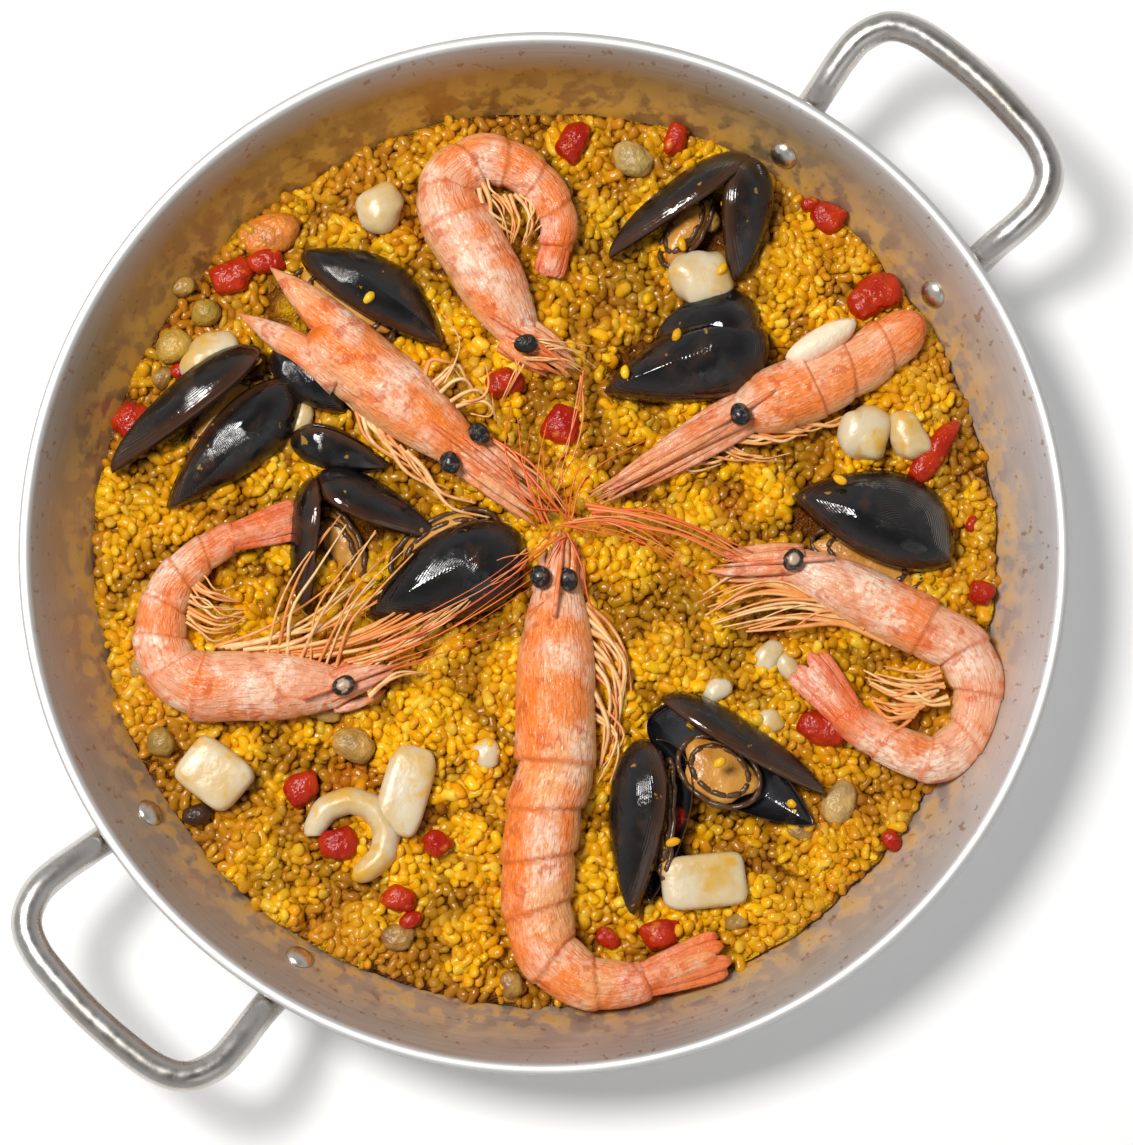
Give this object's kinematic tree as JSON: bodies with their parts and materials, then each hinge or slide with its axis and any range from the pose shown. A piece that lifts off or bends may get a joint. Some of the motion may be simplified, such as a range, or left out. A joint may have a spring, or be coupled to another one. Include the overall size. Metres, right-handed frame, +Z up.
{
  "type": "seafood paella in its pan",
  "caption": "Round shallow pan with two rod handles, filled with yellow rice and laid with whole prawns, mussels, squid pieces and red pepper.",
  "frame": {"origin": "on the surface that the pan stands on, under the middle of the whole", "axes": "+X along the line of the two handles, +Y across it, +Z up out of the pan"},
  "size_m": [0.4504, 0.3588, 0.0635],
  "materials": {
    "pan_metal": "satin, brushed round the wall",
    "handle_steel": "satin to bright rod",
    "rivet_metal": "satin",
    "rice": "moist, glossy grains",
    "prawn_shell": "thin shell, half gloss",
    "mussel_shell": "glossy shell with growth lines",
    "squid": "moist, soft gloss",
    "pepper": "moist, glossy",
    "bean": "moist, soft gloss"
  },
  "bodies": {
    "root": {"pan": "pan_metal", "handle_1": "handle_steel", "handle_2": "handle_steel", "rivet_1": "rivet_metal", "rivet_2": "rivet_metal", "rivet_3": "rivet_metal", "rivet_4": "rivet_metal", "rice": "rice", "prawn_1": "prawn_shell", "prawn_2": "prawn_shell", "prawn_3": "prawn_shell", "prawn_4": "prawn_shell", "prawn_5": "prawn_shell", "prawn_6": "prawn_shell", "mussel_1": "mussel_shell", "mussel_2": "mussel_shell", "mussel_3": "mussel_shell", "mussel_4": "mussel_shell", "mussel_5": "mussel_shell", "mussel_6": "mussel_shell", "mussel_7": "mussel_shell", "mussel_8": "mussel_shell", "mussel_9": "mussel_shell", "mussel_10": "mussel_shell", "mussel_11": "mussel_shell", "squid_1": "squid", "squid_2": "squid", "squid_3": "squid", "squid_4": "squid", "squid_5": "squid", "squid_6": "squid", "squid_7": "squid", "squid_8": "squid", "squid_ring": "squid", "pepper_1": "pepper", "pepper_2": "pepper", "pepper_3": "pepper", "pepper_4": "pepper", "pepper_5": "pepper", "pepper_6": "pepper", "pepper_7": "pepper", "pepper_8": "pepper", "pepper_9": "pepper", "pepper_10": "pepper", "pepper_11": "pepper", "pepper_12": "pepper", "pepper_13": "pepper", "pepper_14": "pepper", "pepper_15": "pepper", "pepper_16": "pepper", "pepper_17": "pepper", "bean_1": "bean", "bean_2": "bean", "bean_3": "bean", "bean_4": "bean", "bean_5": "bean", "bean_6": "bean", "bean_7": "bean", "bean_8": "bean"}
  },
  "joints": []
}
